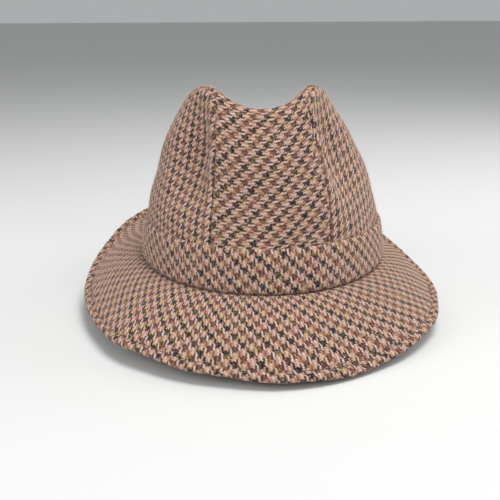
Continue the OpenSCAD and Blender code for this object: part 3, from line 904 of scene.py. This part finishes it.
def brim_edge(turns, under):
    """The rounded edge: rows of points at these angles from straight up, on its outside and its inside."""
    h = reach(BRIM_PHI)[None, :] - EDGE_ROLL
    top, normal = brim_face(h, 0.0)
    low, _ = brim_face(h, BRIM_THICK, under=True)
    middle = (top + low) / 2
    half = np.linalg.norm(top - low, axis=-1, keepdims=True) / 2
    up = unit(top - low)
    phi = BRIM_PHI[None, :]
    out = unit(brim_point(phi, h + 0.5) - brim_point(phi, h - 0.5))
    out = unit(out - (out * up).sum(-1, keepdims=True) * up)
    outer, inner = [], []
    for turn in turns:
        aim = math.sin(turn) * out + math.cos(turn) * up
        outer.append((middle + half * aim)[0])
        inner.append((middle + (half - BRIM_CLOTH) * aim)[0])
    return np.array(outer), np.array(inner)


def brim_cloth(skin):
    """The brim's cloth, measured round its middle and in towards the crown."""
    middle = skin[len(skin) // 2]
    round_it = lengths(np.concatenate([middle, middle[:1]])[None], 1)
    inward = -lengths(skin, 0)[:, :1]
    uv = np.stack(np.broadcast_arrays(round_it, inward), -1)
    return cut_cloth(uv, "brim", round_it[0, -1])


def bend_with_brim(piece, slot, *nodes):
    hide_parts(*nodes)
    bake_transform(piece)


BRIM_FACE = []


def brim_layers():
    h = brim_rows()
    turns = np.radians(np.linspace(12, 112, 9))
    edge_outer, edge_inner = brim_edge(turns, under=False)
    top = np.concatenate([brim_face(h, 0.0)[0], edge_outer])
    top_back = np.concatenate([brim_face(h, BRIM_CLOTH)[0], edge_inner])
    BRIM_FACE.extend(top[3:])
    piece = shell("brim_tweed_top", top, top_back, brim_cloth(top), wool_tweed, closed=True)
    bend_with_brim(piece, "tweed", "brim_top_cloth", "front_brim_top_cloth")

    turns = np.radians(np.linspace(168, 116, 5))
    edge_outer, edge_inner = brim_edge(turns, under=True)
    low = np.concatenate([brim_face(h, BRIM_THICK, under=True)[0], edge_outer])
    low_back = np.concatenate([brim_face(h, BRIM_THICK - BRIM_CLOTH, under=True)[0], edge_inner])
    piece = shell("brim_tweed_under", low, low_back, brim_cloth(low), wool_tweed, closed=True)
    bend_with_brim(piece, "tweed", "brim_under_cloth", "front_brim_under_cloth")

    some = h[::2, ::3]
    phi = np.broadcast_to(BRIM_PHI[::3], some.shape)
    some = np.minimum(some, reach(phi) - STITCH_INSET - 0.8)
    normal = brim_normal(phi, some)
    drift = smooth((some + 1) / 5) * brim_drift(phi, some, np.broadcast_to(EDGE_TRAVEL[::3], some.shape))
    place = brim_point(phi, some) + normal * drift[..., None]
    deep = BRIM_CLOTH + BRIM_GAP
    uv = np.stack(
        np.broadcast_arrays(np.linspace(0, 610, some.shape[1] + 1)[None, :], np.linspace(0, 60, len(some))[:, None]), -1
    )
    piece = shell("brim_canvas", place - deep * normal, place - (deep + STIFFENER) * normal, uv, canvas, closed=True)
    bend_with_brim(piece, "interlining", "brim_stiffener", "front_brim_stiffener")


brim_layers()


# ---- Geometry Nodes: stitches and fibres ----
def node_tree(name, sizes):
    """A geometry tree with a geometry input and output and one number input for each size."""
    tree = bpy.data.node_groups.new(name, "GeometryNodeTree")
    tree.interface.new_socket("Geometry", in_out="INPUT", socket_type="NodeSocketGeometry")
    kinds = {float: "NodeSocketFloat", int: "NodeSocketInt"}
    for size, value in sizes.items():
        tree.interface.new_socket(size, in_out="INPUT", socket_type=kinds[type(value)])
    tree.interface.new_socket("Geometry", in_out="OUTPUT", socket_type="NodeSocketGeometry")
    return tree, tree.nodes.new("NodeGroupInput"), tree.nodes.new("NodeGroupOutput")


def grown(name, base, tree, sizes):
    """The plain mesh that a geometry tree makes on base. Base goes."""
    modifier = base.modifiers.new("grow", "NODES")
    modifier.node_group = tree
    for item in tree.interface.items_tree:
        if item.item_type == "SOCKET" and item.in_out == "INPUT" and item.name in sizes:
            modifier[item.identifier] = sizes[item.name]
    base.update_tag()
    evaluated = base.evaluated_get(bpy.context.evaluated_depsgraph_get())
    mesh = bpy.data.meshes.new_from_object(evaluated)
    mesh.name = name
    base.modifiers.remove(modifier)
    old = base.data
    bpy.data.objects.remove(base)
    bpy.data.meshes.remove(old)
    made = bpy.data.objects.new(name, mesh)
    bpy.context.scene.collection.objects.link(made)
    return made


def stitches(name, place, ahead, up, length, thick, material):
    """Stitches, each a small bolster of thread lying along ahead with its ends sunk in."""
    sizes = {"Length": length * MM, "Thickness": thick * MM}
    tree, start, end = node_tree("row_of_stitches", sizes)
    bolster = add(tree, "GeometryNodeMeshUVSphere", {"Segments": 8, "Rings": 6, "Radius": 0.5})
    size = add(tree, "ShaderNodeCombineXYZ", {"X": start.outputs["Length"], "Y": start.outputs["Thickness"], "Z": start.outputs["Thickness"]})
    body = add(tree, "GeometryNodeTransform", {"Geometry": bolster.outputs["Mesh"], "Scale": size.outputs[0]})
    forward = add(tree, "GeometryNodeInputNamedAttribute", {"Name": "ahead"}, data_type="FLOAT_VECTOR")
    upward = add(tree, "GeometryNodeInputNamedAttribute", {"Name": "up"}, data_type="FLOAT_VECTOR")
    turn = add(
        tree,
        "FunctionNodeAxesToRotation",
        {"Primary Axis": upward.outputs["Attribute"], "Secondary Axis": forward.outputs["Attribute"]},
        primary_axis="Z",
        secondary_axis="X",
    )
    placed = add(
        tree,
        "GeometryNodeInstanceOnPoints",
        {"Points": start.outputs["Geometry"], "Instance": body.outputs[0], "Rotation": turn.outputs[0]},
    )
    real = add(tree, "GeometryNodeRealizeInstances", {"Geometry": placed.outputs[0]})
    smooth_it = add(tree, "GeometryNodeSetShadeSmooth", {"Geometry": real.outputs[0]})
    done = add(tree, "GeometryNodeSetMaterial", {"Geometry": smooth_it.outputs[0], "Material": material})
    tree.links.new(done.outputs[0], end.inputs[0])
    mesh = bpy.data.meshes.new(name + "_places")
    mesh.from_pydata((place * MM).tolist(), [], [])
    for key, value in (("ahead", ahead), ("up", up)):
        mesh.attributes.new(key, "FLOAT_VECTOR", "POINT").data.foreach_set("vector", value.astype(np.float32).ravel())
    base = bpy.data.objects.new(name + "_places", mesh)
    bpy.context.scene.collection.objects.link(base)
    return grown(name, base, tree, sizes)


def round_line(line, travel_to):
    """Points of a closed line at given distances round it."""
    closed = np.concatenate([line, line[:1]])
    travel = np.concatenate([[0], np.cumsum(np.linalg.norm(np.diff(closed, axis=0), axis=1))])
    at = np.asarray(travel_to) % travel[-1]
    return np.stack([np.interp(at, travel, closed[:, k]) for k in range(3)], 1), travel[-1]


def stitch_row(name, line, up, pitch, length, thick, lift, material):
    """A row of stitches along a closed line."""
    _, whole = round_line(line, [0.0])
    count = round(whole / pitch)
    draw = np.random.default_rng(5)
    at = (np.arange(count) + 0.5) * whole / count + draw.uniform(-0.12, 0.12, count)
    place, _ = round_line(line, at)
    after, _ = round_line(line, at + 0.7)
    before, _ = round_line(line, at - 0.7)
    up_here, _ = round_line(up, [0.0])
    closed = np.concatenate([line, line[:1]])
    travel = np.concatenate([[0], np.cumsum(np.linalg.norm(np.diff(closed, axis=0), axis=1))])
    closed_up = np.concatenate([up, up[:1]])
    up_here = unit(np.stack([np.interp(at % whole, travel, closed_up[:, k]) for k in range(3)], 1))
    return stitches(name, place + lift * up_here, unit(after - before), up_here, length, thick, material)


def fibre_tree():
    """Grows short, curved fibres of wool on a cloth, leaning every way."""
    sizes = {"Fibres per square metre": 1.0, "Length": 1.0, "Thickness": 1.0, "Seed": 1}
    tree, start, end = node_tree("loose_wool", sizes)
    spots = add(
        tree,
        "GeometryNodeDistributePointsOnFaces",
        {"Mesh": start.outputs["Geometry"], "Density": start.outputs[1], "Seed": start.outputs["Seed"]},
    )
    bend = add(
        tree,
        "GeometryNodeCurvePrimitiveBezierSegment",
        {"Resolution": 2, "Start": (0, 0, -0.08), "Start Handle": (0, 0, 0.4), "End Handle": (0.1, 0, 0.8), "End": (0.5, 0, 0.95)},
    )
    size = add(tree, "ShaderNodeCombineXYZ", {0: start.outputs["Length"], 1: start.outputs["Length"], 2: start.outputs["Length"]})
    line = add(tree, "GeometryNodeTransform", {"Geometry": bend.outputs[0], "Scale": size.outputs[0]})
    ring = add(tree, "GeometryNodeCurvePrimitiveCircle", {"Resolution": 3, "Radius": 0.5})
    width = add(tree, "ShaderNodeCombineXYZ", {0: start.outputs["Thickness"], 1: start.outputs["Thickness"], 2: 1.0})
    profile = add(tree, "GeometryNodeTransform", {"Geometry": ring.outputs[0], "Scale": width.outputs[0]})
    fibre = add(tree, "GeometryNodeCurveToMesh", {"Curve": line.outputs[0], "Profile Curve": profile.outputs[0], "Fill Caps": True})
    lean = add(
        tree,
        "FunctionNodeRandomValue",
        {0: (0.35, 0.0, 0.0), 1: (1.25, 0.0, 2 * PI), "Seed": start.outputs["Seed"]},
        data_type="FLOAT_VECTOR",
    )
    leaning = add(tree, "FunctionNodeEulerToRotation", {0: lean.outputs[0]})
    turn = add(
        tree,
        "FunctionNodeRotateRotation",
        {"Rotation": spots.outputs["Rotation"], "Rotate By": leaning.outputs[0]},
        rotation_space="LOCAL",
    )
    grow = add(tree, "FunctionNodeRandomValue", {2: 0.5, 3: 1.4, "Seed": start.outputs["Seed"]}, data_type="FLOAT")
    placed = add(
        tree,
        "GeometryNodeInstanceOnPoints",
        {"Points": spots.outputs[0], "Instance": fibre.outputs[0], "Rotation": turn.outputs[0], "Scale": grow.outputs[1]},
    )
    real = add(tree, "GeometryNodeRealizeInstances", {"Geometry": placed.outputs[0]})
    done = add(tree, "GeometryNodeSetMaterial", {"Geometry": real.outputs[0], "Material": loose_wool})
    tree.links.new(done.outputs[0], end.inputs[0])
    return tree


LOOSE_WOOL_TREE = fibre_tree()


def fibres(name, grid, closed, seed):
    """The loose fibres on the face of a cloth given as a grid of points."""
    rows, cols = grid.shape[:2]
    wide = cols if closed else cols - 1
    i, j = (a.ravel() for a in np.meshgrid(np.arange(rows - 1), np.arange(wide), indexing="ij"))
    k = (j + 1) % cols
    mesh = bpy.data.meshes.new(name + "_face")
    quads = np.stack([i * cols + j, i * cols + k, (i + 1) * cols + k, (i + 1) * cols + j], 1)
    mesh.from_pydata((grid.reshape(-1, 3) * MM).tolist(), [], quads.tolist())
    base = bpy.data.objects.new(name + "_face", mesh)
    bpy.context.scene.collection.objects.link(base)
    sizes = {
        "Fibres per square metre": FIBRES_PER_MM2 / MM**2,
        "Length": FIBRE_LENGTH * MM,
        "Thickness": FIBRE_THICK * MM,
        "Seed": seed,
    }
    return grown(name, base, LOOSE_WOOL_TREE, sizes)


def all_fibres():
    for seed, panel in enumerate(("centre", "left", "right"), 1):
        piece = fibres(f"crown_fibres_{panel}", crown_skin(panel, 0.0)[2:-2, 1:-1], False, seed)
        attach(piece, "hat")
    piece = fibres("band_fibres", np.array(BAND_FACE), True, 4)
    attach(piece, "hat")
    piece = fibres("brim_fibres", np.array(BRIM_FACE), True, 5)
    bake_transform(piece)


all_fibres()


def brim_stitching():
    h = (reach(BRIM_PHI) - STITCH_INSET)[None, :]
    top, up = brim_face(h, 0.0)
    low, _ = brim_face(h, BRIM_THICK, under=True)
    upper = stitch_row("brim_edge_stitches_top", top[0], up[0], STITCH_PITCH, 3.3, 0.62, 0.1, edge_thread)
    bend_with_brim(upper, "thread", "brim_edge_stitching", "front_brim_edge_stitching")
    under = stitch_row("brim_edge_stitches_under", low[0], -up[0], STITCH_PITCH, 3.3, 0.62, 0.1, edge_thread)
    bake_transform(under)


brim_stitching()


def sweatband_stitching():
    deep = STACK + 0.28
    line, outward = ring_at(2.2 + 2 * REED_RADIUS, -deep)
    row = stitch_row("sweatband_stitches", line, -outward, 3.2, 2.6, 0.5, 0.08, sweat_thread)
    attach(row, "hat")
    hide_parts("sweatband_stitching")


sweatband_stitching()


def size_label():
    """A blank woven tab at the back of the sweatband, sewn down round its edge."""
    low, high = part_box("size_label")
    base, outward = ring_at(18.0, -STACK - 0.9)
    behind = base[:, 1] > 0
    order = np.argsort(base[behind, 0])
    x = np.linspace(low[0] / MM + 0.3, high[0] / MM - 0.3, 25)
    y = np.interp(x, base[behind, 0][order], base[behind, 1][order])
    levels = np.linspace(12, 24, 13)
    sag = 0.12 * np.sin(np.linspace(0, PI, 13))[:, None] * np.sin(np.linspace(0, PI, 25))[None, :]
    front = np.stack(np.broadcast_arrays(x[None, :], y[None, :] - sag, levels[:, None]), -1)
    back = front + [0, 0.35, 0]
    uv = np.stack(np.broadcast_arrays(x[None, :], levels[:, None]), -1)
    piece = shell("size_label_tape", front, back, uv, label_tape)
    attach(piece, "hat")
    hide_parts("size_label")


size_label()


# ---- surroundings ----
def floor_and_light():
    bpy.context.scene.view_settings.view_transform = "Standard"
    bpy.ops.mesh.primitive_plane_add(size=60, location=(0, 0, cad_low[2] - 0.004))
    floor = bpy.context.object
    floor.name = "studio_floor"
    paper, _, shader = blank_material("matte_paper_backdrop", 0.9)
    shader.inputs["Base Color"].default_value = paint("#CFCFCE")
    floor.data.materials.append(paper)
    world = bpy.data.worlds.new("studio")
    bpy.context.scene.world = world
    world.use_nodes = True
    world.node_tree.nodes["Background"].inputs[0].default_value = paint("#F4F6F8")
    world.node_tree.nodes["Background"].inputs[1].default_value = 0.45
    for name, place, size, power in (
        ("overhead", (0.3, -0.2, 1.45), 0.8, 19),
        ("front", (0.5, -1.3, 0.8), 1.0, 4.8),
        ("right_side", (1.1, 0.2, 0.5), 0.9, 5.2),
        ("left_side", (-1.1, -0.5, 0.5), 0.9, 7),
    ):
        lamp = bpy.data.lights.new(name, "AREA")
        lamp.shape, lamp.size, lamp.energy = "DISK", size, power
        holder = bpy.data.objects.new(name, lamp)
        bpy.context.scene.collection.objects.link(holder)
        holder.location = place
        aim = -np.array(place) + [0, 0, 0.03]
        holder.rotation_euler = Vector(aim).to_track_quat("-Z", "Y").to_euler()


floor_and_light()

# The camera stands in front of the hat and a little to its right, and looks slightly down on it
CAMERA_DISTANCE, CAMERA_RISE, CAMERA_SWING = 600.0, math.radians(16.72), math.radians(4.0)
AIM_TURN, AIM_TILT = math.radians(0.9026), math.radians(-0.0888)


def camera():
    made = bpy.data.objects.new("camera", bpy.data.cameras.new("camera"))
    bpy.context.scene.collection.objects.link(made)
    made.data.sensor_width, made.data.lens = 36.0, 55.76
    tilt = CAMERA_RISE - AIM_TILT
    forward = np.array([0, math.cos(tilt), -math.sin(tilt)])
    up = np.array([0, math.sin(tilt), math.cos(tilt)])
    right = np.array([1.0, 0, 0])
    forward, right = (
        forward * math.cos(AIM_TURN) - right * math.sin(AIM_TURN),
        right * math.cos(AIM_TURN) + forward * math.sin(AIM_TURN),
    )
    place = np.array([0, -math.cos(CAMERA_RISE), math.sin(CAMERA_RISE)]) * CAMERA_DISTANCE * MM
    c, s = math.cos(CAMERA_SWING), math.sin(CAMERA_SWING)
    swing = np.array([[c, s, 0], [-s, c, 0], [0, 0, 1]])
    axes = [swing @ v for v in (right, up, -forward)]
    made.matrix_world = Matrix(
        [[*(float(a[k]) for a in axes), float((swing @ place)[k])] for k in range(3)] + [[0, 0, 0, 1]]
    )
    bpy.context.scene.camera = made


camera()
